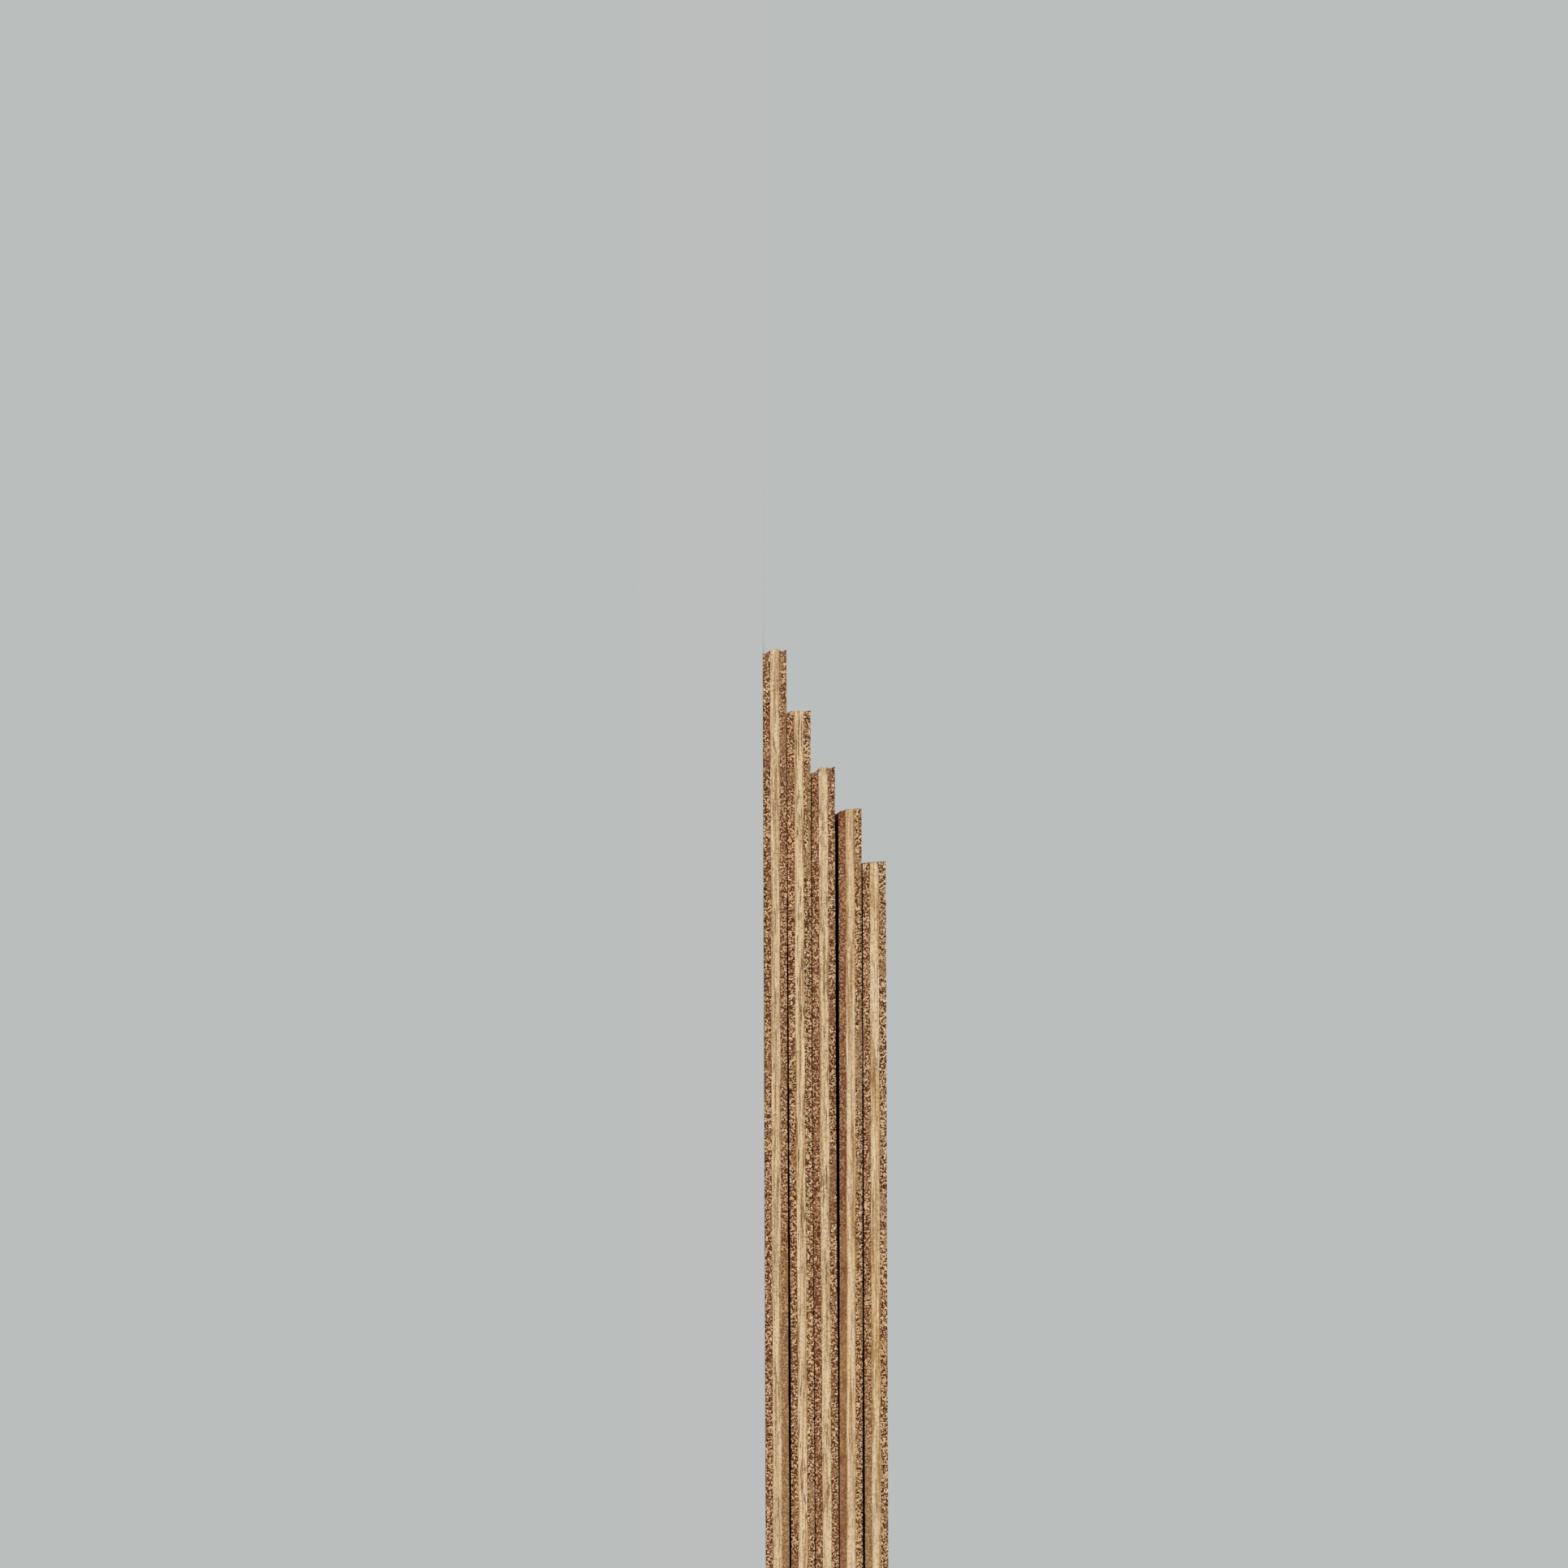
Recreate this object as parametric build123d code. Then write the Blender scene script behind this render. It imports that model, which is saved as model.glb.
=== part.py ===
"""Stack of five three-ply plywood sheets, lying flat, with one end fanned out into steps.

X runs along the sawn edges that show, Y along the grain of the face and back veneers, and Z is up.
The origin is on the floor, in the middle of the stack's footprint. Every length is in millimetres.
A table of shares has one entry for each sheet, from the floor up.
"""

import os

from build123d import *

# One sheet: its two sides, and its three veneers from the underside up
SHEET_LENGTH = 200.0
SHEET_WIDTH = 300.0
BACK_VENEER = 0.92
CORE_VENEER = 1.11
FACE_VENEER = 0.92

# The fan: how far the top sheet's end stands back from the bottom sheet's
FAN_LENGTH = 26.4
FAN_SHARES = (0.0, 0.289, 0.553, 0.752, 1.0)

# What the saw trims off a sheet at the fanned end, beyond the sheet's length
SAW_TRIM = 1.0

# The saw cut there leans: how far a sheet's underside ends behind its upper side
END_LEAN = 0.25
LEAN_SHARES = (0.0, 0.5, 0.0, 0.4, 1.0)

# The saw has broken the back veneer away there: how far it ends behind the cut
END_BREAK = 0.6
BREAK_SHARES = (0.75, 0.0, 1.0, 0.25, 0.0)

# The bow along X: the rise of the middle of a crowned sheet over its ends, with the ends level.
# A share below zero is a dished sheet, whose ends rise instead.
BOW_RISE = 0.17
BOW_SHARES = (0.0, 1.0, 1.0, -0.9, 0.0)

# How far a bowed sheet stays level from each end, and how much of the length from there to the crest
# each of the curve's two handles takes up
END_LEVEL = 30.0
HANDLE_SHARE = 1 / 3

# How far the long edges stand out of line
EDGE_STEP = 0.4
EDGE_SHARES = (0.25, 0.0, 0.6, 1.0, 0.4)

# What is left between two sheets at the place where they come closest
SEAT_GAP = 0.03

# Where along the stack the distance between two sheets is worked out
SEAT_STATIONS = 41

VENEERS = (("back_veneer", BACK_VENEER), ("core_veneer", CORE_VENEER), ("face_veneer", FACE_VENEER))
SHEET_THICKNESS = BACK_VENEER + CORE_VENEER + FACE_VENEER
STACK_LENGTH = FAN_LENGTH + SHEET_LENGTH
STACK_WIDTH = EDGE_STEP + SHEET_WIDTH


class Sheet:
    """One sheet of the stack: where it lies, how it bows, and how its fanned end is cut."""

    def __init__(self, fan_share, lean_share, break_share, bow_share, edge_share, below):
        self.start = fan_share * FAN_LENGTH - STACK_LENGTH / 2
        self.blank_start = self.start - SAW_TRIM
        self.end = self.start + SHEET_LENGTH
        self.middle = (self.blank_start + self.end) / 2
        self.front = edge_share * EDGE_STEP - STACK_WIDTH / 2
        self.lean = lean_share * END_LEAN
        self.end_break = break_share * END_BREAK
        self.rise = bow_share * BOW_RISE
        self.seat = self.seat_on(below) if below else 0.0

    def bow(self, x):
        """How far the sheet rises at x above the line through its two ends."""
        half_bow = self.end - self.middle - END_LEVEL
        share = max(0.0, 1 - abs(x - self.middle) / half_bow)
        return self.rise * share**2 * (3 - 2 * share)

    def top(self, x):
        """Height of the sheet's upper side at x."""
        return self.seat + self.bow(x) + SHEET_THICKNESS

    def seat_on(self, below):
        """Height of this sheet's ends at which it clears the sheet below by the seat gap."""
        low, high = max(self.start, below.start), min(self.end, below.end)
        stations = [low + (high - low) * step / (SEAT_STATIONS - 1) for step in range(SEAT_STATIONS)]
        return SEAT_GAP + max(below.top(x) - self.bow(x) for x in stations)

    def lines(self, level):
        """The sheet's course along X at a level above its underside: straight, or bowed between level ends."""
        end_height = self.seat + level
        first, last = Vector(self.blank_start, end_height), Vector(self.end, end_height)
        if not self.rise:
            return [Line(first, last)]
        foot, far_foot = first + Vector(END_LEVEL, 0), last - Vector(END_LEVEL, 0)
        crest = Vector(self.middle, end_height + self.rise)
        handle = (crest.X - foot.X) * HANDLE_SHARE * Vector(1, 0)
        rise = Bezier(foot, foot + handle, crest - handle, crest)
        fall = Bezier(crest, crest + handle, far_foot - handle, far_foot)
        return [Line(first, foot), rise, fall, Line(far_foot, last)]

    def saw_cut(self, set_back):
        """The leaning plane that the fanned end is cut on, facing the sheet."""
        return Plane(
            origin=(self.start + set_back, 0, self.seat + SHEET_THICKNESS),
            z_dir=(SHEET_THICKNESS, 0, self.lean),
        )

    def veneer(self, low, high, set_back):
        """The solid between two levels: the bowed outline, carried along the width and sawn off."""
        lower, upper = self.lines(low), self.lines(high)
        ends = [Line(lower[0] @ 0, upper[0] @ 0), Line(lower[-1] @ 1, upper[-1] @ 1)]
        outline = make_face([*lower, *upper, *ends])
        front_plane = Plane(origin=(0, self.front, 0), x_dir=(1, 0, 0), z_dir=(0, -1, 0))
        blank = extrude(front_plane * outline, -SHEET_WIDTH)
        return split(blank, bisect_by=self.saw_cut(set_back), keep=Keep.TOP)


def stacked_sheets():
    """The sheets from the floor up, each seated on the one before."""
    sheets = []
    for shares in zip(FAN_SHARES, LEAN_SHARES, BREAK_SHARES, BOW_SHARES, EDGE_SHARES):
        sheets.append(Sheet(*shares, below=sheets[-1] if sheets else None))
    return sheets


def main():
    os.makedirs("parts", exist_ok=True)
    for number, sheet in enumerate(stacked_sheets(), start=1):
        level = 0.0
        for name, thickness in VENEERS:
            set_back = sheet.end_break if name == "back_veneer" else 0.0
            solid = sheet.veneer(level, level + thickness, set_back)
            export_step(solid, f"parts/sheet_{number}_{name}.step")
            level += thickness


main()
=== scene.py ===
"""Dresses a packed stack of plywood sheets: sawn edges, torn ends and veneer grain, in a plain studio.

Lengths are in metres and axes are the frame's own: X along the sawn edges that show, Y along the grain of
the outer plies, Z up. A table of shares has one row for each sheet, from the floor up.
"""

import math
import random
from collections import namedtuple

import bmesh
import bpy
from bpy.props import FloatProperty, FloatVectorProperty, IntProperty, PointerProperty
from mathutils import Matrix, Vector


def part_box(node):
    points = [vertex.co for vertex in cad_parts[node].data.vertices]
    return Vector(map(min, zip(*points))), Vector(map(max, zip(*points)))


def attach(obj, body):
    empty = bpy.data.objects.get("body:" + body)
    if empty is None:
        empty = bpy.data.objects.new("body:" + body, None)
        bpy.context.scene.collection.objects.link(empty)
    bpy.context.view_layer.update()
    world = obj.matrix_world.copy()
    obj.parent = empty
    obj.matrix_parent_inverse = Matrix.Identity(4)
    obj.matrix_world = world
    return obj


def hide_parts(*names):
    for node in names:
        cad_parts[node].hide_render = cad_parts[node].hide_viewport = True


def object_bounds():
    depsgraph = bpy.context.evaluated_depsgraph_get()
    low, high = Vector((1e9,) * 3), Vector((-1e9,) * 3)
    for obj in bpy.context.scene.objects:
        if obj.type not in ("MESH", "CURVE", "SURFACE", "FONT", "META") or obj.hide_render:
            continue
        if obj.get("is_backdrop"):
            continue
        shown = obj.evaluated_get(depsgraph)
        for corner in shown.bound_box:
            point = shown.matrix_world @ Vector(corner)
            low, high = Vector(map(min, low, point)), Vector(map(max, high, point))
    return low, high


bl_info = {
    "name": "Fanned Plywood Stack",
    "version": (1, 0, 0),
    "blender": (4, 5, 0),
    "location": "View3D > Sidebar > Plywood",
    "description": "Models the plies of a packed plywood stack and sets them in a plain studio",
    "category": "Object",
}

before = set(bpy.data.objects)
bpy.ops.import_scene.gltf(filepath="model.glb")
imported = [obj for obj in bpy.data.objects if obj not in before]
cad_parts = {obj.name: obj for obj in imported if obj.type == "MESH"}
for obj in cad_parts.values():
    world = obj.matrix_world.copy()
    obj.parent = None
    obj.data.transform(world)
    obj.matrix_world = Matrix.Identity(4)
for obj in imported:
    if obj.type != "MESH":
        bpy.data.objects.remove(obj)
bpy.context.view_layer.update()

MM = 0.001
TOUCH = 0.02 * MM
X_AXIS, Y_AXIS, Z_AXIS = range(3)
SHEETS = range(1, 6)
BLANK_NODE = "sheet_1_core_veneer"
SMOOTH_ANGLE_DEG = 50

# The saw has torn the fanned end: how far each ply ends behind its sheet's reach, as shares of the deepest
# tear, at the ply's lower side, middle and upper side
TEAR_SHARES = {
    "back": (
        (0.76, 0.54, 0.20),
        (0.35, 0.15, 0.13),
        (1.00, 0.88, 0.35),
        (0.58, 0.29, 0.24),
        (0.29, 0.24, 0.20),
    ),
    "core": (
        (0.02, 0.00, 0.06),
        (0.07, 0.04, 0.09),
        (0.18, 0.04, 0.13),
        (0.09, 0.07, 0.06),
        (0.16, 0.07, 0.04),
    ),
    "face": (
        (0.14, 0.35, 0.06),
        (0.13, 0.08, 0.00),
        (0.28, 0.24, 0.00),
        (0.04, 0.02, 0.00),
        (0.09, 0.05, 0.00),
    ),
}

# How a tear varies from the front to the rear: over how many steps, and between which shares of its depth
TEAR_STEPS = 24
TEAR_SPREAD = (0.45, 1.1)

# Lengths of the lumps in the marks that sawing and gluing left
SAW_LUMPS = 0.3 * MM
FUZZ_LUMPS = 0.22 * MM
CRUMB_LUMPS = 0.3 * MM
EASING_WAVES = 3 * MM
GLUE_WAVES = {"face": 5 * MM, "back": 4 * MM}
LUMP_LAYERS = 2

# The middle level of a texture, from which it moves a surface both ways
BOTH_WAYS = 0.5

# The sides of each ply that stray with a glue line, and which of the sheet's two glue lines it is
GLUE_SIDES = {
    "back": (("upper", "back"),),
    "core": (("upper", "face"), ("lower", "back")),
    "face": (("lower", "face"),),
}

# The gaps under each sheet and over the last: how far the long edges are eased there, as a share of the
# deepest easing, how strongly the gap's shade is painted on the arrises, and between which places along X the
# gap is open
OFF_STACK = -120 * MM
NOWHERE = 1.0
Gap = namedtuple("Gap", "ease_share dark_share from_x to_x", defaults=(OFF_STACK, NOWHERE))
GAPS = (
    Gap(0.1, 0.0),
    Gap(0.8, 0.45, -87 * MM, -8 * MM),
    Gap(0.1, 0.2),
    Gap(0.3, 0.4),
    Gap(0.5, 0.4, -100 * MM),
    Gap(0.1, 0.0),
)

# Over what length a gap opens and closes, and how much of the painted gap shade stays on the arrises beyond
# it
GAP_REACH = 15 * MM
CLOSED_SHADE_SHARE = 0.3

# How an outer ply looks: shares of red and grey in its wood, how strongly it is speckled, the place in the
# grain that it is cut from, and from where along X it turns plain
OuterLook = namedtuple("OuterLook", "red_share grey_share speckle_share seed plain_x", defaults=(NOWHERE,))
OUTER_LOOKS = {
    "back": (
        OuterLook(1.00, 0.15, 1.05, 3),
        OuterLook(0.80, 0.05, 1.00, 11),
        OuterLook(2.30, 0.00, 0.80, 23),
        OuterLook(2.70, 0.00, 0.45, 31, -43 * MM),
        OuterLook(0.90, 0.20, 0.90, 47, -18 * MM),
    ),
    "face": (
        OuterLook(0.80, 0.20, 0.85, 8, -34 * MM),
        OuterLook(0.20, 0.45, 1.00, 20),
        OuterLook(1.50, 0.25, 0.95, 29),
        OuterLook(0.05, 0.45, 1.05, 41),
        OuterLook(0.15, 0.60, 1.60, 53),
    ),
}

# Plain wood: what is left there of the specks and of the red, and how far from its start each fades
PLAIN_SPECKLE = 0.4
SPECKLE_FADE = 14 * MM
PLAIN_RED = 0.22
RED_FADE = 10 * MM

# How a core ply looks: how golden it is, how strongly its streaks, slits and ray ticks show, and the place in
# the grain
CoreLook = namedtuple("CoreLook", "gold_share streak_share slit_share tick_share seed")
CORE_LOOKS = (
    CoreLook(0.75, 0.80, 0.70, 0.60, 5),
    CoreLook(0.55, 0.90, 0.90, 0.50, 13),
    CoreLook(0.50, 0.70, 0.80, 0.70, 27),
    CoreLook(0.85, 0.80, 0.40, 0.40, 61),
    CoreLook(1.10, 0.90, 0.60, 0.50, 43),
)

# Coordinates in the wood count millimetres across the grain, and lengths of this many millimetres along it.
# Each seed starts them at another place.
GRAIN_STRETCH = 25
GRAIN_SEED_STEP = 17.0
EVEN_SEED_STEP = 13.0

# A pattern in the wood: how often it changes along X, Y and Z, how far it is shifted, how many finer layers
# it has, and how strong these are
Pattern = namedtuple("Pattern", "changes shift layers roughness", defaults=(0.0, 1.0, 0.5))

# What a pattern marks: between which two of its values the mark fades in, and its least and its most share
Mark = namedtuple("Mark", "pattern start full least most", defaults=(0.0, 1.0))

OUTER_PATTERNS = {
    "hue": Pattern((0.4, 0.3, 0.9), 5.0, 2.0),
    "drift": Pattern((0.04, 0.1, 0.4), 9.0),
    "ribbons": Pattern((0.09, 0.12, 1.0), 2.0, 3.0),
    "fibres": Pattern((2.6, 0.8, 2.6), 0.0, 3.0, 0.65),
    "dashes": Pattern((5.0, 3.0, 5.0), 6.0),
}
OUTER_MARKS = {
    "red": Mark("hue", 0.32, 0.66, 0.1, 1.3),
    "grey": Mark("drift", 0.35, 0.6, 0.3, 1.3),
    "ribbon": Mark("ribbons", 0.3, 0.7),
    "broad fibre": Mark("fibres", 0.42, 0.72, 0.0, 0.55),
    "sawn fibre": Mark("fibres", 0.35, 0.65, 0.0, 0.6),
    "vessel": Mark("dashes", 0.57, 0.66),
}

# The core's figure along the grain, and its rays and dots, which the grain doesn't draw out
CORE_PATTERNS = {
    "bands": Pattern((1.8, 0.6, 1.9), 1.0, 2.0),
    "lines": Pattern((2.4, 2.0, 3.6), 0.0, 2.0, 0.6),
    "slits": Pattern((12.0, 5.0, 7.0), 4.0),
    "slit zones": Pattern((5.0, 1.0, 1.6), 8.0),
}
RAY_PATTERNS = {
    "ticks": Pattern((5.5, 2.0, 1.2)),
    "tick zones": Pattern((0.35, 0.5, 1.3), 6.0),
    "dots": Pattern((3.4, 3.4, 4.4), 3.0),
}
CORE_MARKS = {
    "gold": Mark("bands", 0.35, 0.68),
    "end gold": Mark("bands", 0.3, 0.7, 0.2, 0.9),
    "streak": Mark("lines", 0.53, 0.58),
    "streak zone": Mark("bands", 0.38, 0.6, 0.45, 1.0),
    "light": Mark("lines", 0.46, 0.40),
    "roughness": Mark("lines", 0.35, 0.65, 0.7, 0.9),
    "slit": Mark("slits", 0.54, 0.62),
    "slit zone": Mark("slit zones", 0.46, 0.56),
    "tick": Mark("ticks", 0.54, 0.66),
    "tick zone": Mark("tick zones", 0.48, 0.58),
    "dark dot": Mark("dots", 0.52, 0.64, 0.0, 0.4),
    "pale dot": Mark("dots", 0.48, 0.36, 0.0, 0.4),
}

# The specks on end grain, in the coordinates of the wood: their size, how often vessels and specks change
# within it, the shift at which the sawn edges cut the specks where they are fullest, and how soft the rim of
# a vessel is
SPECK_SIZE = 0.2
VESSEL_CHANGES = 0.6
SPECK_CHANGES = 1.2
SPECK_SHIFT = 7.08
VESSEL_BLUR = 0.08

# The slanting fibres between the specks: their angle, and their size along X, Y and Z
SLANT_DEG = 38
SLANT_SIZE = (0.5, 1.0, 0.13)

# The patterns that the specks follow. Those of the cells, specks and slants are worked out on their own.
SPECKLE_PATTERNS = {
    "patches": Pattern((0.28, 0.28, 1.2), 3.0, 2.0),
    "warmth": Pattern((1.6, 1.0, 1.6), 11.0),
}
SPECKLE_MARKS = {
    "vessel reach": Mark("cells", 0.3, 1.0, 0.0, 0.45),
    "dark": Mark("specks", 0.485, 0.43),
    "pale": Mark("specks", 0.515, 0.57),
    "lively": Mark("patches", 0.34, 0.46, 0.35, 1.0),
    "slant": Mark("slants", 0.52, 0.62),
    "slant zone": Mark("patches", 0.45, 0.58),
    "warmth": Mark("warmth", 0.38, 0.62),
}

# How squarely a cut faces the grain to show end grain, and how upright it stands to be a sawn edge
ACROSS_GRAIN = (0.45, 0.65)
UPRIGHT = (0.75, 0.55)

# The lines along a ply's borders: how they are broken, and how wide they are as shares of the ply
BORDER_PATTERNS = {"breaks": Pattern((0.6, 0.6, 0.6), 0.0, 2.0)}
BORDER_MARKS = {"line": Mark("breaks", 0.35, 0.65, 0.35, 1.0)}
OUTER_BORDER = 0.13
CORE_BORDER = 0.11

# How strongly each of these shows
GLUE_SHARE = 0.5
SLANT_SHARE = 0.25
BROAD_RED = 0.2
BROAD_GREY = 0.4
BROAD_VESSEL = 0.6
SAWN_VESSEL = 0.5
CORE_SPECK = 0.6

# How smooth the wood is, and how high its pores and fibres stand
WOOD_GLOSS = 0.12
BROAD_ROUGHNESS = 0.55
SAWN_ROUGHNESS = 0.9
Relief = namedtuple("Relief", "strength depth")
OUTER_RELIEF = Relief(0.6, 0.08 * MM)
CORE_RELIEF = Relief(0.5, 0.06 * MM)

# The Mix node's sockets for colours, which have the same names as its sockets for values
MIX_FIRST, MIX_SECOND, MIX_RESULT = 6, 7, 2

# The side of the square floor
FLOOR_SIZE = 40

# The soft light: the way that it shines, and how broad it is
SUN_DIRECTION = (0.25, 0.72, -0.65)
SUN_BREADTH_DEG = 50
WHITE = (1, 1, 1, 1)

# The camera looks at the sawn edges with the fanned end up, as the photograph does
CAMERA_X = -84.0 * MM
CAMERA_Z = 1.8 * MM
AIM_X = -96.46 * MM
AIM_Z = 2.59 * MM
STACK_LEAN_DEG = 0.2


def linear(*display):
    """A colour for a shader socket, from its display values of 0 to 255, by the sRGB curve."""
    shares = [value / 255 for value in display]
    return tuple(s / 12.92 if s <= 0.04045 else ((s + 0.055) / 1.055) ** 2.4 for s in shares)


def length(name, description, default):
    """A length that the panel shows in the scene's units."""
    return FloatProperty(
        name=name, description=description, default=default, min=0, unit="LENGTH", precision=5
    )


def colour(name, description, *display):
    """A colour that the panel shows as a swatch."""
    return FloatVectorProperty(
        name=name, description=description, default=linear(*display), min=0, max=1, subtype="COLOR"
    )


class SheetSettings(bpy.types.PropertyGroup):
    """Sizes of the plies' meshes and of the marks that sawing left on them."""

    grid_step: length("Grid Step", "Spacing of the grid on a ply's broad sides", 8 * MM)
    edge_rows: IntProperty(name="Edge Rows", description="Rows of faces across an edge", default=8, min=2)
    front_step: length("Front Step", "Spacing along the sawn edge that faces the camera", 0.16 * MM)
    back_step: length("Back Step", "Spacing along the sawn edge at the back", 0.5 * MM)
    fanned_step: length("Fanned Step", "Spacing along the fanned end", 0.4 * MM)
    square_step: length("Square Step", "Spacing along the other end", 0.8 * MM)
    end_level: length("End Level", "How far a bowed sheet stays level from each end", 30 * MM)
    end_tear: length("End Tear", "Deepest tear of the fanned end", 0.85 * MM)
    tear_reach: length("Tear Reach", "How far from the fanned end a tear draws the edges along", 2.5 * MM)
    end_fuzz: length("End Fuzz", "Depth of the loose fibres at both ends", 0.27 * MM)
    saw_depth: length("Saw Depth", "Depth of the roughness that the saw left along the long edges", 0.09 * MM)
    fibre_length: length("Fibre Length", "Length of the saw's marks along the grain", 3 * MM)
    glue_wander: length("Glue Wander", "How far the glue lines stray from level", 0.14 * MM)
    edge_ease: length("Edge Ease", "Deepest easing of the long edges of a sheet", 0.12 * MM)
    crumble: length("Crumble", "Depth of the crumbs that are missing from the long edges", 0.05 * MM)


class OuterWood(bpy.types.PropertyGroup):
    """Colours of the red-brown hardwood of the face and back plies."""

    tan: colour("Tan", "The plain wood on a sawn edge", 160, 117, 74)
    red: colour("Red", "The redder heartwood on a sawn edge", 125, 69, 41)
    grey: colour("Grey", "The greyer sapwood on a sawn edge", 156, 131, 98)
    # This colour is also the painted shade on an outer ply's arris where the gap beside it is open
    pore_and_gap_shade: colour("Pore", "The open vessels", 68, 30, 9)
    brown: colour("Brown", "The red-brown specks beside the vessels", 104, 52, 21)
    fleck: colour("Fleck", "The pale specks between the vessels", 226, 197, 155)
    honey: colour("Honey", "The golden specks between the vessels", 206, 166, 120)
    glue: colour("Glue", "The thin glue line beside the core", 104, 64, 34)
    broad: colour("Broad Side", "The wood on a ply's broad side", 190, 148, 112)
    ribbon: colour("Ribbon", "The darker ribbons on a ply's broad side", 160, 113, 80)


class CoreWood(bpy.types.PropertyGroup):
    """Colours of the pale hardwood of the core plies."""

    cream: colour("Cream", "The plain wood", 220, 196, 161)
    light: colour("Light", "The palest lines along the grain", 229, 206, 173)
    gold: colour("Gold", "The darker bands along the grain", 200, 163, 110)
    streak: colour("Streak", "The thin streaks along the grain and the rays across it", 156, 110, 60)
    slit: colour("Slit", "The open vessels, cut lengthwise", 114, 74, 38)
    glue: colour("Glue", "The glue lines beside the outer plies", 160, 120, 74)


class StudioSettings(bpy.types.PropertyGroup):
    """The camera, the light and the backdrop."""

    lens: FloatProperty(name="Lens", description="Focal length, in millimetres", default=180)
    distance: length("Distance", "From the camera to the sawn edge", 0.973)
    sky: FloatProperty(name="Sky", description="Strength of the even light", default=0.75)
    sun: FloatProperty(name="Sun", description="Strength of the soft light from the front", default=1.64)
    floor: colour("Floor", "The floor under the stack", 180, 183, 182)
    backdrop: colour("Backdrop", "What shows beyond the floor", 186, 190, 189)


# Choosing, cutting and moving parts of a mesh


def start_alone(piece):
    """Makes the piece the one thing that is selected."""
    bpy.ops.object.select_all(action="DESELECT")
    piece.select_set(True)
    bpy.context.view_layer.objects.active = piece


def cut_edges(piece, wanted, cuts):
    """Cuts each edge that is wanted, going by its two corners, into cuts + 1 lengths."""
    bpy.ops.object.mode_set(mode="EDIT")
    bpy.ops.mesh.select_mode(type="EDGE")
    bpy.ops.mesh.select_all(action="DESELECT")
    shape = bmesh.from_edit_mesh(piece.data)
    for edge in shape.edges:
        first, second = edge.verts
        edge.select_set(wanted(first.co, second.co))
    bmesh.update_edit_mesh(piece.data)
    bpy.ops.mesh.subdivide(number_cuts=cuts)
    bpy.ops.object.mode_set(mode="OBJECT")


def along(axis):
    """Picks the edges that run along an axis."""
    return lambda first, second: abs(first[axis] - second[axis]) > TOUCH and all(
        abs(first[other] - second[other]) < TOUCH for other in range(3) if other != axis
    )


def along_on(axis, side_axis, place):
    """Picks the edges that run along an axis on the side at a place on another axis."""
    runs = along(axis)
    return lambda first, second: runs(first, second) and abs(first[side_axis] - place) < TOUCH


def add_group(piece, name, weigh):
    """Adds a vertex group that holds each vertex with a weight above zero."""
    group = piece.vertex_groups.new(name=name)
    for vertex in piece.data.vertices:
        weight = weigh(vertex.co)
        if weight > 0:
            group.add([vertex.index], weight, "REPLACE")


def displace(piece, group, direction, strength, texture=None, guide=None, middle=0.0):
    """Moves a vertex group along an axis, evenly or by a texture, which a guide can stretch."""
    modifier = piece.modifiers.new(group, "DISPLACE")
    modifier.vertex_group = group
    modifier.direction = direction
    modifier.strength = strength
    modifier.mid_level = middle
    if texture:
        modifier.texture = texture
        modifier.texture_coords = "OBJECT" if guide else "LOCAL"
        modifier.texture_coords_object = guide
    bpy.ops.object.modifier_apply(modifier=modifier.name)


def lumps(name, size):
    """A cloud texture with lumps of a size, made the first time it is asked for."""
    texture = bpy.data.textures.get(name) or bpy.data.textures.new(name, "CLOUDS")
    texture.noise_scale = size
    texture.noise_depth = LUMP_LAYERS
    return texture


def add_guide(name, scale):
    """An empty that stretches textures along the grain."""
    bpy.ops.object.empty_add(location=(0, 0, 0))
    guide = bpy.context.object
    guide.name = name
    guide.scale = scale
    bpy.context.view_layer.update()
    return guide


def between(values, step):
    """The value at a place along evenly spaced values, which is counted in their steps."""
    first = min(int(step), len(values) - 2)
    return values[first] + (values[first + 1] - values[first]) * (step - first)


def clamp(share):
    """The share, kept from 0 to 1."""
    return min(max(share, 0.0), 1.0)


# The plies


class SheetPlace:
    """Where one sheet lies in the frame, and how it bows."""

    def __init__(self, number):
        self.number = number
        boxes = [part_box(self.node(ply)) for ply in ("back", "core", "face")]
        self.start = min(low.x for low, high in boxes)
        self.end = max(high.x for low, high in boxes)
        self.front = boxes[0][0].y
        self.rear = boxes[0][1].y

    def node(self, ply):
        """Name of the ply's CAD node."""
        return f"sheet_{self.number}_{ply}_veneer"

    def end_heights(self, ply):
        """The heights of the ply's lower and upper side at the square end, where no sheet is bowed."""
        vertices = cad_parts[self.node(ply)].data.vertices
        heights = [vertex.co.z for vertex in vertices if vertex.co.x > self.end - TOUCH]
        return min(heights), max(heights)

    def rise(self, ply):
        """How far the ply's middle rises over its ends. It is below zero where the sheet is dished."""
        low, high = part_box(self.node(ply))
        end_low, end_high = self.end_heights(ply)
        return (low.z - end_low) + (high.z - end_high)


def bow_share(x, half_bow):
    """Share of the bow's rise at x, which is counted from the middle of the sheet."""
    share = max(0.0, 1 - abs(x) / half_bow)
    return share * share * (3 - 2 * share)


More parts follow.
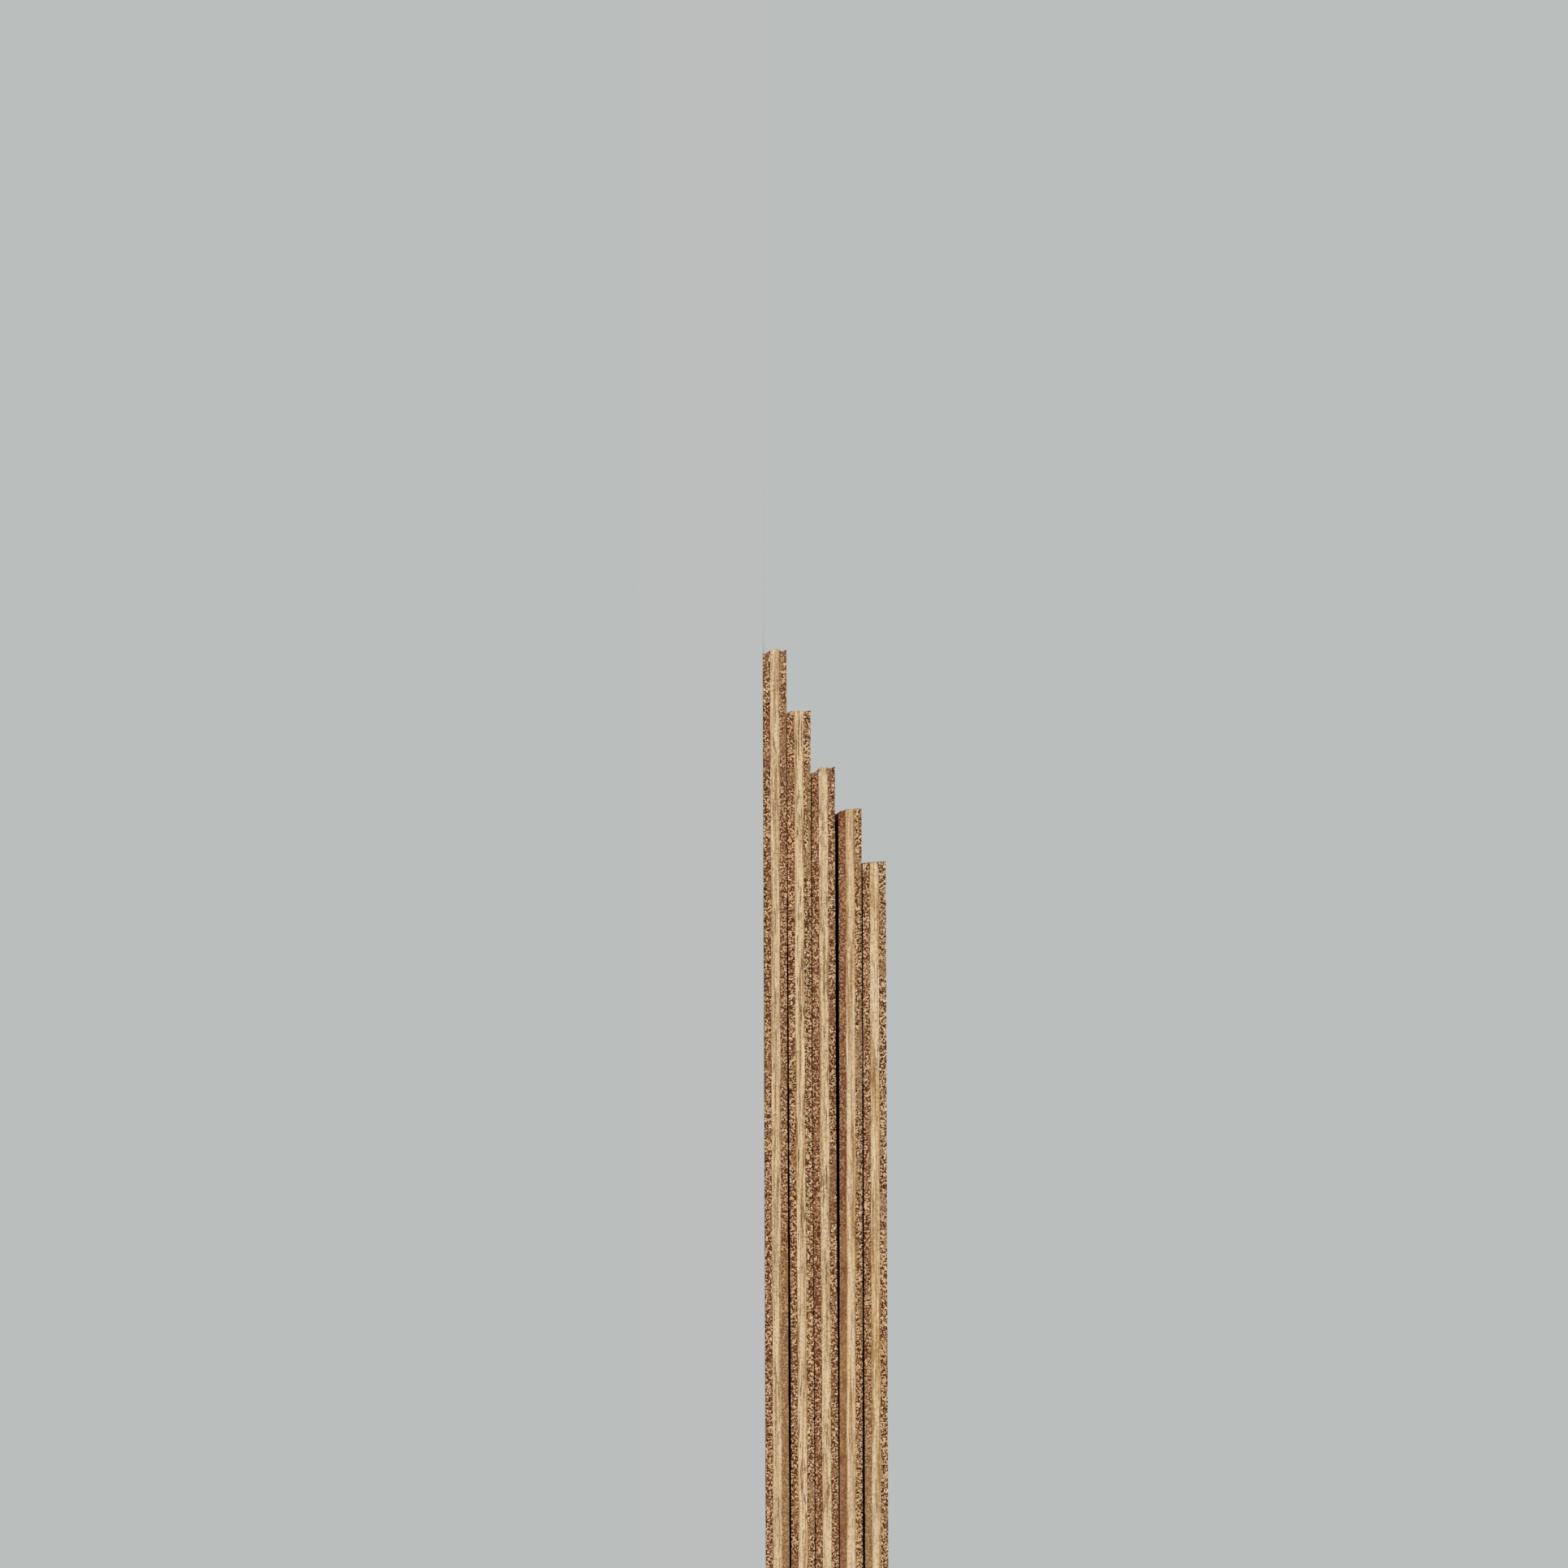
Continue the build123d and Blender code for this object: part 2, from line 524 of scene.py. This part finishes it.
def model_blank(settings):
    """Models one flat ply in the middle of the floor: a coarse grid on its broad sides, and fine edges."""
    low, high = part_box(BLANK_NODE)
    size = high - low
    half = size / 2
    bpy.ops.object.select_all(action="DESELECT")
    bpy.ops.mesh.primitive_cube_add(size=1)
    blank = bpy.context.object
    blank.name = "ply_blank"
    blank.scale = size
    bpy.ops.object.transform_apply(location=True, rotation=True, scale=True)
    across = blank.data.attributes.new("across", "FLOAT", "POINT")
    across.data.foreach_set("value", [float(vertex.co.z > 0) for vertex in blank.data.vertices])
    cut_edges(blank, along(X_AXIS), round(size.x / settings.grid_step) - 1)
    cut_edges(blank, along(Y_AXIS), round(size.y / settings.grid_step) - 1)
    add_group(blank, "bow", lambda place: bow_share(place.x, half.x - settings.end_level))
    add_group(blank, "upper", lambda place: float(place.z > 0))
    add_group(blank, "lower", lambda place: float(place.z < 0))
    cut_edges(blank, along(Z_AXIS), settings.edge_rows - 1)
    for axis, side_axis, place, step in (
        (X_AXIS, Y_AXIS, -half.y, settings.front_step),
        (X_AXIS, Y_AXIS, half.y, settings.back_step),
        (Y_AXIS, X_AXIS, -half.x, settings.fanned_step),
        (Y_AXIS, X_AXIS, half.x, settings.square_step),
    ):
        cut_edges(blank, along_on(axis, side_axis, place), round(settings.grid_step / step) - 1)
    add_group(blank, "front", lambda place: float(place.y < TOUCH - half.y))
    add_group(blank, "rear", lambda place: float(place.y > half.y - TOUCH))
    corner = half - Vector((TOUCH, TOUCH, TOUCH))
    add_group(blank, "upper_arris", lambda place: float(abs(place.y) > corner.y and place.z > corner.z))
    add_group(blank, "lower_arris", lambda place: float(abs(place.y) > corner.y and place.z < -corner.z))
    add_group(blank, "fanned", lambda place: float(place.x < TOUCH - half.x))
    add_group(blank, "square", lambda place: float(place.x > half.x - TOUCH))
    return blank


def place_ply(blank, sheet, ply):
    """Copies the blank to a ply's place and size in its sheet."""
    low, high = sheet.end_heights(ply)
    piece = bpy.data.objects.new(f"sheet_{sheet.number}_{ply}_ply", blank.data.copy())
    bpy.context.scene.collection.objects.link(piece)
    for group in blank.vertex_groups:
        piece.vertex_groups.new(name=group.name)
    corner = Vector((sheet.start, sheet.front, low))
    far_corner = Vector((sheet.end, sheet.rear, high))
    piece.location = (corner + far_corner) / 2
    piece.scale = [new / old for new, old in zip(far_corner - corner, blank.dimensions)]
    start_alone(piece)
    bpy.ops.object.transform_apply(location=True, rotation=True, scale=True)
    return piece


def tear_end(piece, sheet, ply, settings):
    """Sets the fanned end back along the tear, which is whole at the front and varies behind that."""
    shares = TEAR_SHARES[ply][sheet.number - 1]
    draw = random.Random(sheet.node(ply))
    depths = [1.0, 1.0] + [draw.uniform(*TEAR_SPREAD) for step in range(TEAR_STEPS - 1)]
    low, high = sheet.end_heights(ply)

    def weigh(place):
        nearness = 1 - (place.x - sheet.start) / settings.tear_reach
        if nearness <= 0:
            return 0.0
        share = between(shares, clamp((place.z - low) / (high - low)) * (len(shares) - 1))
        depth = between(depths, (place.y - sheet.front) / (sheet.rear - sheet.front) * TEAR_STEPS)
        return min(1.0, share * depth) * min(nearness, 1.0)

    add_group(piece, "tear", weigh)
    displace(piece, "tear", "X", settings.end_tear)


def roughen(piece, ply, settings, guide):
    """Adds the marks of the saw to the edges, and lets the glue lines stray."""
    saw_marks = lumps("saw marks", SAW_LUMPS)
    fuzz = lumps("end fuzz", FUZZ_LUMPS)
    displace(piece, "front", "Y", settings.saw_depth, saw_marks, guide)
    displace(piece, "rear", "Y", -settings.saw_depth, saw_marks, guide)
    displace(piece, "fanned", "X", settings.end_fuzz, fuzz, guide, BOTH_WAYS)
    displace(piece, "square", "X", -settings.end_fuzz, fuzz, guide, BOTH_WAYS)
    for side, glue_line in GLUE_SIDES[ply]:
        wander = lumps(f"{glue_line} glue wander", GLUE_WAVES[glue_line])
        displace(piece, side, "Z", settings.glue_wander, wander, middle=BOTH_WAYS)


def gap_beside(sheet, ply):
    """The gap that a sheet's face or back ply borders."""
    return GAPS[sheet.number if ply == "face" else sheet.number - 1]


def fade_group(piece, name, gap):
    """Fades a vertex group in and out along X, at the two ends of a gap."""
    group = piece.vertex_groups[name]
    for vertex in piece.data.vertices:
        if any(held.group == group.index for held in vertex.groups):
            inside = min(vertex.co.x - gap.from_x, gap.to_x - vertex.co.x)
            group.add([vertex.index], clamp(inside / GAP_REACH), "REPLACE")


def ease_arrises(piece, sheet, ply, settings, guide):
    """Crumbles an outer ply's long edges, and eases them where the gap beside it is open."""
    gap = gap_beside(sheet, ply)
    arris, way = ("upper_arris", -1) if ply == "face" else ("lower_arris", 1)
    displace(piece, arris, "Z", way * settings.crumble, lumps("edge crumbs", CRUMB_LUMPS), guide)
    fade_group(piece, arris, gap)
    ease = way * settings.edge_ease * gap.ease_share
    displace(piece, arris, "Z", ease, lumps("edge easing", EASING_WAVES))


def finish_ply(piece, sheet, ply, material):
    """Smooths the ply's shading, dresses it, and ties it to the frame in place of its node."""
    bpy.ops.object.shade_smooth_by_angle(angle=math.radians(SMOOTH_ANGLE_DEG))
    piece.vertex_groups.clear()
    piece.data.materials.clear()
    piece.data.materials.append(material)
    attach(piece, "root")
    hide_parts(sheet.node(ply))


def make_plies(plies, settings, grain_axis, dress):
    """Models the named plies of every sheet, with their grain along an axis."""
    blank = model_blank(settings)
    stretches = [1, 1, 1]
    stretches[grain_axis] = settings.fibre_length / MM
    guide = add_guide("grain_guide", stretches)
    for sheet in map(SheetPlace, SHEETS):
        for ply in plies:
            piece = place_ply(blank, sheet, ply)
            if abs(sheet.rise(ply)) > TOUCH:
                displace(piece, "bow", "Z", sheet.rise(ply))
            tear_end(piece, sheet, ply, settings)
            roughen(piece, ply, settings, guide)
            if ply != "core":
                ease_arrises(piece, sheet, ply, settings, guide)
            finish_ply(piece, sheet, ply, dress(sheet, ply))
    bpy.data.objects.remove(guide)
    bpy.data.objects.remove(blank)


# Shader nodes


def add_node(tree, kind, inputs=None, **settings):
    """Adds a node, sets it up, and feeds its inputs with values or with other nodes' sockets."""
    made = tree.nodes.new(kind)
    for name, value in settings.items():
        setattr(made, name, value)
    for key, value in (inputs or {}).items():
        if isinstance(value, bpy.types.NodeSocket):
            tree.links.new(value, made.inputs[key])
        else:
            made.inputs[key].default_value = value
    return made


def work_out(tree, operation, *values):
    """The result of a Math node."""
    return add_node(tree, "ShaderNodeMath", dict(enumerate(values)), operation=operation).outputs[0]


def times(tree, first, second):
    """The product of two values."""
    return work_out(tree, "MULTIPLY", first, second)


def ramp(tree, value, start, full, least=0.0, most=1.0):
    """A value that eases from the least to the most between two limits."""
    inputs = {"Value": value, "From Min": start, "From Max": full, "To Min": least, "To Max": most}
    return add_node(tree, "ShaderNodeMapRange", inputs, interpolation_type="SMOOTHSTEP").outputs[0]


def blend(tree, share, first, second):
    """The colour between two, each of them a node's or one of the settings', by a share."""
    first, second = (c if isinstance(c, bpy.types.NodeSocket) else (*c, 1) for c in (first, second))
    inputs = {"Factor": share, MIX_FIRST: first, MIX_SECOND: second}
    return add_node(tree, "ShaderNodeMix", inputs, data_type="RGBA").outputs[MIX_RESULT]


def stretch(tree, vector, scale, shift):
    """Coordinates scaled along each axis and shifted along all three."""
    inputs = {"Vector": vector, "Scale": scale, "Location": (shift,) * 3}
    return add_node(tree, "ShaderNodeMapping", inputs).outputs[0]


def clouds(tree, vector, scale=1.0, layers=1.0, roughness=0.5):
    """A noise value."""
    inputs = {"Vector": vector, "Scale": scale, "Detail": layers, "Roughness": roughness}
    return add_node(tree, "ShaderNodeTexNoise", inputs).outputs[0]


def lay_patterns(tree, vector, patterns):
    """The value of each pattern, by its name."""
    values = {}
    for name, made in patterns.items():
        place = stretch(tree, vector, made.changes, made.shift)
        values[name] = clouds(tree, place, 1.0, made.layers, made.roughness)
    return values


def lay_marks(tree, values, marks):
    """The share of each mark, by its name, from the values of the patterns."""
    return {name: ramp(tree, values[mark.pattern], *mark[1:]) for name, mark in marks.items()}


# Effects that the materials share


def speckle(tree, entry):
    """Open vessels, and dark and pale specks between them, in coordinates that count millimetres."""
    place = entry["Vector"]
    fineness = work_out(tree, "DIVIDE", 1.0, entry["Size"])
    cell_inputs = {"Vector": place, "Scale": times(tree, fineness, VESSEL_CHANGES)}
    cells = add_node(tree, "ShaderNodeTexVoronoi", cell_inputs).outputs
    slope_inputs = {"Vector": place, "Rotation": (0, math.radians(SLANT_DEG), 0), "Scale": SLANT_SIZE}
    slope = add_node(tree, "ShaderNodeMapping", slope_inputs, vector_type="TEXTURE").outputs[0]
    values = lay_patterns(tree, place, SPECKLE_PATTERNS)
    values["cells"] = add_node(tree, "ShaderNodeSeparateColor", {"Color": cells["Color"]}).outputs[0]
    values["specks"] = clouds(
        tree, stretch(tree, place, (1, 1, 1), SPECK_SHIFT), times(tree, fineness, SPECK_CHANGES)
    )
    values["slants"] = clouds(tree, slope)
    marks = lay_marks(tree, values, SPECKLE_MARKS)
    inside = work_out(tree, "SUBTRACT", marks["vessel reach"], cells["Distance"])
    vessels = ramp(tree, inside, -VESSEL_BLUR, VESSEL_BLUR)
    return {
        "Dark": times(tree, work_out(tree, "MAXIMUM", vessels, marks["dark"]), marks["lively"]),
        "Pale": times(tree, marks["pale"], marks["lively"]),
        "Slants": times(tree, marks["slant"], marks["slant zone"]),
        "Warmth": marks["warmth"],
    }


def way_of_cut(tree, entry):
    """Which way a surface was cut: across the grain, or along it on a sawn edge or a broad side."""
    normal = add_node(tree, "ShaderNodeTexCoord").outputs["Normal"]
    facing = add_node(tree, "ShaderNodeVectorMath", {0: normal, 1: entry["Grain"]}, operation="DOT_PRODUCT")
    height = add_node(tree, "ShaderNodeSeparateXYZ", {"Vector": normal}).outputs["Z"]
    return {
        "End Grain": ramp(tree, work_out(tree, "ABSOLUTE", facing.outputs["Value"]), *ACROSS_GRAIN),
        "Sawn": ramp(tree, work_out(tree, "ABSOLUTE", height), *UPRIGHT),
    }


def ply_borders(tree, entry):
    """How close a sawn edge comes to a ply's lower and upper border, in broken lines."""
    across = add_node(tree, "ShaderNodeAttribute", attribute_name="across").outputs["Fac"]
    breaks = lay_patterns(tree, entry["Vector"], BORDER_PATTERNS)
    line = lay_marks(tree, breaks, BORDER_MARKS)["line"]
    width = times(tree, entry["Width"], line)
    distances = {"Lower": across, "Upper": work_out(tree, "SUBTRACT", 1.0, across)}
    return {side: times(tree, ramp(tree, away, width, 0.0), line) for side, away in distances.items()}


Effect = namedtuple("Effect", "build inputs")
EFFECTS = {
    "Speckle": Effect(speckle, {"Vector": "Vector", "Size": "Float"}),
    "Way of Cut": Effect(way_of_cut, {"Grain": "Vector"}),
    "Ply Borders": Effect(ply_borders, {"Vector": "Vector", "Width": "Float"}),
}


def build_effect(name):
    """Builds a shader node group with named inputs, which puts out shares."""
    tree = bpy.data.node_groups.new(name, "ShaderNodeTree")
    for socket, kind in EFFECTS[name].inputs.items():
        tree.interface.new_socket(socket, in_out="INPUT", socket_type=f"NodeSocket{kind}")
    shares = EFFECTS[name].build(tree, add_node(tree, "NodeGroupInput").outputs)
    for socket in shares:
        tree.interface.new_socket(socket, in_out="OUTPUT", socket_type="NodeSocketFloat")
    add_node(tree, "NodeGroupOutput", shares)
    return tree


def use_effect(tree, name, inputs):
    """Places a shader node group, which is built the first time it is asked for, and feeds it."""
    group = bpy.data.node_groups.get(name) or build_effect(name)
    return add_node(tree, "ShaderNodeGroup", inputs, node_tree=group).outputs


# The wood


def new_material(name, gloss):
    """A material with only its output and a Principled shader, which is returned with its tree."""
    material = bpy.data.materials.new(name)
    material.use_nodes = True
    tree = material.node_tree
    tree.nodes.clear()
    shader = add_node(tree, "ShaderNodeBsdfPrincipled", {"Specular IOR Level": gloss})
    add_node(tree, "ShaderNodeOutputMaterial", {"Surface": shader.outputs[0]})
    return material, tree, shader


def count_mm(tree, place, shift, grain_axis=None):
    """Coordinates that count millimetres, drawn out along the grain where its axis is given."""
    counts = [1 / MM] * 3
    if grain_axis is not None:
        counts[grain_axis] /= GRAIN_STRETCH
    return stretch(tree, place, counts, shift)


def add_relief(tree, shader, height, relief):
    """Raises and hollows the surface by a height, as bump."""
    inputs = {"Height": height, "Strength": relief.strength, "Distance": relief.depth}
    bump = add_node(tree, "ShaderNodeBump", inputs)
    tree.links.new(bump.outputs[0], shader.inputs["Normal"])


def end_grain(tree, wood, look, along_edge, marks, specks):
    """Colour of an outer ply cut across its grain: red and grey zones, under pale and dark specks."""
    start = look.plain_x
    speckled = ramp(tree, along_edge, start - SPECKLE_FADE, start + SPECKLE_FADE, 1.0, PLAIN_SPECKLE)
    speckled = times(tree, speckled, look.speckle_share)
    ruddy = ramp(tree, along_edge, start - RED_FADE, start + RED_FADE, 1.0, PLAIN_RED)
    red = times(tree, times(tree, marks["red"], look.red_share), ruddy)
    edge = blend(tree, red, wood.tan, wood.red)
    edge = blend(tree, times(tree, marks["grey"], look.grey_share), edge, wood.grey)
    edge = blend(tree, times(tree, specks["Slants"], SLANT_SHARE / look.speckle_share), edge, wood.honey)
    pale_wood = blend(tree, specks["Warmth"], wood.fleck, wood.honey)
    edge = blend(tree, times(tree, specks["Pale"], speckled), edge, pale_wood)
    dark_wood = blend(tree, specks["Warmth"], wood.pore_and_gap_shade, wood.brown)
    return blend(tree, times(tree, specks["Dark"], speckled), edge, dark_wood)


def line_borders(tree, wood, sheet, ply, along_edge, edge, borders):
    """Draws the glue line on an outer ply's edge, and paints the gap's shade on its arris where the gap
    beside it is open.
    """
    glue, arris = ("Lower", "Upper") if ply == "face" else ("Upper", "Lower")
    gap = gap_beside(sheet, ply)
    # Painted shade: the shade inside an open gap is painted on the arris beside it in the pore colour, and it
    # fades where the gap closes
    closed_shade = CLOSED_SHADE_SHARE * gap.dark_share
    opening = ramp(tree, along_edge, gap.from_x, gap.from_x + GAP_REACH, closed_shade, gap.dark_share)
    closing = ramp(tree, along_edge, gap.to_x - GAP_REACH, gap.to_x, 1.0, CLOSED_SHADE_SHARE)
    edge = blend(tree, times(tree, borders[glue], GLUE_SHARE), edge, wood.glue)
    return blend(tree, times(tree, borders[arris], times(tree, opening, closing)), edge, wood.pore_and_gap_shade)


def long_grain(tree, wood, look, cut, marks):
    """Colour of an outer ply cut along its grain: ribboned on its broad side, and redder at its ends."""
    broad = blend(tree, marks["ribbon"], wood.broad, wood.ribbon)
    broad = blend(tree, BROAD_RED * look.red_share, broad, wood.red)
    broad = blend(tree, BROAD_GREY * look.grey_share, broad, wood.grey)
    broad = blend(tree, marks["broad fibre"], broad, wood.red)
    sawn = blend(tree, marks["sawn fibre"], broad, wood.red)
    broad = blend(tree, times(tree, marks["vessel"], BROAD_VESSEL), broad, wood.brown)
    sawn = blend(tree, times(tree, marks["vessel"], SAWN_VESSEL), sawn, wood.brown)
    return blend(tree, cut["Sawn"], broad, sawn)


def outer_material(wood, sheet, ply):
    """Red-brown open-pored hardwood: speckled where it is cut across, and ribboned on its broad side."""
    look = OUTER_LOOKS[ply][sheet.number - 1]
    material, tree, shader = new_material(f"{ply} ply of sheet {sheet.number}", WOOD_GLOSS)
    place = add_node(tree, "ShaderNodeTexCoord").outputs["Object"]
    along_edge = add_node(tree, "ShaderNodeSeparateXYZ", {"Vector": place}).outputs["X"]
    grain = count_mm(tree, place, GRAIN_SEED_STEP * look.seed, Y_AXIS)
    cut = use_effect(tree, "Way of Cut", {"Grain": (0, 1, 0)})
    specks = use_effect(tree, "Speckle", {"Vector": grain, "Size": SPECK_SIZE})
    borders = use_effect(tree, "Ply Borders", {"Vector": grain, "Width": OUTER_BORDER})
    values = lay_patterns(tree, grain, OUTER_PATTERNS)
    marks = lay_marks(tree, values, OUTER_MARKS)
    edge = end_grain(tree, wood, look, along_edge, marks, specks)
    edge = line_borders(tree, wood, sheet, ply, along_edge, edge, borders)
    skin = blend(tree, cut["End Grain"], long_grain(tree, wood, look, cut, marks), edge)
    tree.links.new(skin, shader.inputs["Base Color"])
    roughness = ramp(tree, cut["Sawn"], 0.0, 1.0, BROAD_ROUGHNESS, SAWN_ROUGHNESS)
    tree.links.new(roughness, shader.inputs["Roughness"])
    inputs = {"Factor": cut["End Grain"], "A": marks["vessel"], "B": specks["Dark"]}
    pores = add_node(tree, "ShaderNodeMix", inputs).outputs[0]
    add_relief(tree, shader, work_out(tree, "SUBTRACT", values["fibres"], pores), OUTER_RELIEF)
    return material


def core_material(wood, sheet, ply):
    """Pale hardwood with its grain along the edge that shows: streaks, slits and crossing rays."""
    look = CORE_LOOKS[sheet.number - 1]
    material, tree, shader = new_material(f"{ply} ply of sheet {sheet.number}", WOOD_GLOSS)
    place = add_node(tree, "ShaderNodeTexCoord").outputs["Object"]
    grain = count_mm(tree, place, GRAIN_SEED_STEP * look.seed, X_AXIS)
    even = count_mm(tree, place, EVEN_SEED_STEP * look.seed)
    cut = use_effect(tree, "Way of Cut", {"Grain": (1, 0, 0)})
    specks = use_effect(tree, "Speckle", {"Vector": grain, "Size": SPECK_SIZE})
    borders = use_effect(tree, "Ply Borders", {"Vector": even, "Width": CORE_BORDER})
    values = {**lay_patterns(tree, grain, CORE_PATTERNS), **lay_patterns(tree, even, RAY_PATTERNS)}
    marks = lay_marks(tree, values, CORE_MARKS)
    streaks = times(tree, times(tree, marks["streak"], look.streak_share), marks["streak zone"])
    slits = times(tree, marks["slit"], marks["slit zone"])
    ticks = times(tree, marks["tick"], marks["tick zone"])
    skin = blend(tree, times(tree, marks["gold"], look.gold_share), wood.cream, wood.gold)
    skin = blend(tree, streaks, skin, wood.streak)
    skin = blend(tree, times(tree, marks["light"], look.streak_share), skin, wood.light)
    skin = blend(tree, times(tree, slits, look.slit_share), skin, wood.slit)
    skin = blend(tree, times(tree, ticks, look.tick_share), skin, wood.streak)
    skin = blend(tree, marks["dark dot"], skin, wood.streak)
    skin = blend(tree, marks["pale dot"], skin, wood.cream)
    end = blend(tree, marks["end gold"], wood.cream, wood.gold)
    end = blend(tree, times(tree, specks["Dark"], CORE_SPECK), end, wood.streak)
    skin = blend(tree, cut["End Grain"], skin, end)
    glue_lines = work_out(tree, "MAXIMUM", borders["Lower"], borders["Upper"])
    skin = blend(tree, times(tree, glue_lines, GLUE_SHARE), skin, wood.glue)
    tree.links.new(skin, shader.inputs["Base Color"])
    tree.links.new(marks["roughness"], shader.inputs["Roughness"])
    hollows = work_out(tree, "ADD", slits, streaks)
    add_relief(tree, shader, work_out(tree, "SUBTRACT", values["bands"], hollows), CORE_RELIEF)
    return material


# The studio


def seen_rays(tree):
    """Picks the rays that show the backdrop: what the camera sees, by itself or by way of a surface."""
    rays = add_node(tree, "ShaderNodeLightPath").outputs
    reflected = work_out(tree, "MAXIMUM", rays["Is Glossy Ray"], rays["Is Transmission Ray"])
    return work_out(tree, "MAXIMUM", rays["Is Camera Ray"], reflected)


def floor_material(studio):
    """A pale matt floor that takes the stack's shadow."""
    material, _, shader = new_material("studio floor", gloss=0.0)
    shader.inputs["Base Color"].default_value = (*studio.floor, 1)
    shader.inputs["Roughness"].default_value = 1.0
    return material


def light_world(studio):
    """Even light from all round, with the backdrop's colour for what the camera sees."""
    world = bpy.data.worlds.new("studio")
    world.use_nodes = True
    tree = world.node_tree
    tree.nodes.clear()
    light = add_node(tree, "ShaderNodeBackground", {"Color": WHITE, "Strength": studio.sky})
    shown = add_node(tree, "ShaderNodeBackground", {"Color": (*studio.backdrop, 1), "Strength": 1.0})
    inputs = {0: seen_rays(tree), 1: light.outputs[0], 2: shown.outputs[0]}
    mixed = add_node(tree, "ShaderNodeMixShader", inputs)
    add_node(tree, "ShaderNodeOutputWorld", {"Surface": mixed.outputs[0]})
    bpy.context.scene.world = world


def add_sun(studio):
    """A broad soft light from the front and above."""
    bpy.ops.object.light_add(type="SUN")
    sun = bpy.context.object
    sun.name = "soft_sun"
    sun.data.energy = studio.sun
    sun.data.angle = math.radians(SUN_BREADTH_DEG)
    sun.rotation_mode = "QUATERNION"
    sun.rotation_quaternion = Vector(SUN_DIRECTION).to_track_quat("-Z", "Y")


def add_camera(studio):
    """A long lens, turned so that the fanned end points up in the picture."""
    bpy.ops.object.camera_add()
    camera = bpy.context.object
    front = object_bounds()[0].y
    camera.data.lens = studio.lens
    camera.location = (CAMERA_X, front - studio.distance, CAMERA_Z)
    forward = (Vector((AIM_X, front, AIM_Z)) - camera.location).normalized()
    lean = math.radians(STACK_LEAN_DEG)
    right = forward.cross(Vector((-math.cos(lean), 0, math.sin(lean)))).normalized()
    turn = Matrix((right, right.cross(forward), -forward)).transposed()
    camera.rotation_mode = "QUATERNION"
    camera.rotation_quaternion = turn.to_quaternion()
    bpy.context.scene.camera = camera


# The add-on


class PLYWOOD_OT_outer_plies(bpy.types.Operator):
    """Model the face and back plies, with their grain along Y"""

    bl_idname = "plywood.outer_plies"
    bl_label = "Outer Plies"

    def execute(self, context):
        wood = context.scene.plywood_outer
        make_plies(
            ("back", "face"), context.scene.plywood_sheets, Y_AXIS,
            lambda sheet, ply: outer_material(wood, sheet, ply),
        )
        return {"FINISHED"}


class PLYWOOD_OT_core_plies(bpy.types.Operator):
    """Model the core plies, with their grain along X"""

    bl_idname = "plywood.core_plies"
    bl_label = "Core Plies"

    def execute(self, context):
        wood = context.scene.plywood_core
        make_plies(
            ("core",), context.scene.plywood_sheets, X_AXIS,
            lambda sheet, ply: core_material(wood, sheet, ply),
        )
        return {"FINISHED"}


class PLYWOOD_OT_studio(bpy.types.Operator):
    """Lay the floor, light the stack and set up the camera"""

    bl_idname = "plywood.studio"
    bl_label = "Studio"

    def execute(self, context):
        studio = context.scene.plywood_studio
        bpy.ops.object.select_all(action="DESELECT")
        bpy.ops.mesh.primitive_plane_add(size=FLOOR_SIZE)
        floor = context.object
        floor.name = "studio_floor"
        floor.data.materials.append(floor_material(studio))
        floor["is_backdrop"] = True
        light_world(studio)
        add_sun(studio)
        add_camera(studio)
        context.scene.view_settings.view_transform = "Standard"
        return {"FINISHED"}


class PLYWOOD_PT_stack(bpy.types.Panel):
    """The stack's settings and the steps that build it"""

    bl_label = "Plywood Stack"
    bl_space_type = "VIEW_3D"
    bl_region_type = "UI"
    bl_category = "Plywood"

    def draw(self, context):
        for group in SETTINGS:
            box = self.layout.box()
            settings = getattr(context.scene, group)
            for name in settings.bl_rna.properties.keys():
                if name not in {"rna_type", "name"}:
                    box.prop(settings, name)
        for operator in OPERATORS:
            self.layout.operator(operator.bl_idname)


SETTINGS = {
    "plywood_sheets": SheetSettings,
    "plywood_outer": OuterWood,
    "plywood_core": CoreWood,
    "plywood_studio": StudioSettings,
}
OPERATORS = (PLYWOOD_OT_outer_plies, PLYWOOD_OT_core_plies, PLYWOOD_OT_studio)
CLASSES = (*SETTINGS.values(), *OPERATORS, PLYWOOD_PT_stack)


def register():
    for made in CLASSES:
        bpy.utils.register_class(made)
    for name, group in SETTINGS.items():
        setattr(bpy.types.Scene, name, PointerProperty(type=group))


def unregister():
    for name in SETTINGS:
        delattr(bpy.types.Scene, name)
    for made in reversed(CLASSES):
        bpy.utils.unregister_class(made)


def main():
    register()
    bpy.ops.plywood.outer_plies()
    bpy.ops.plywood.core_plies()
    bpy.ops.plywood.studio()


if __name__ == "__main__":
    main()
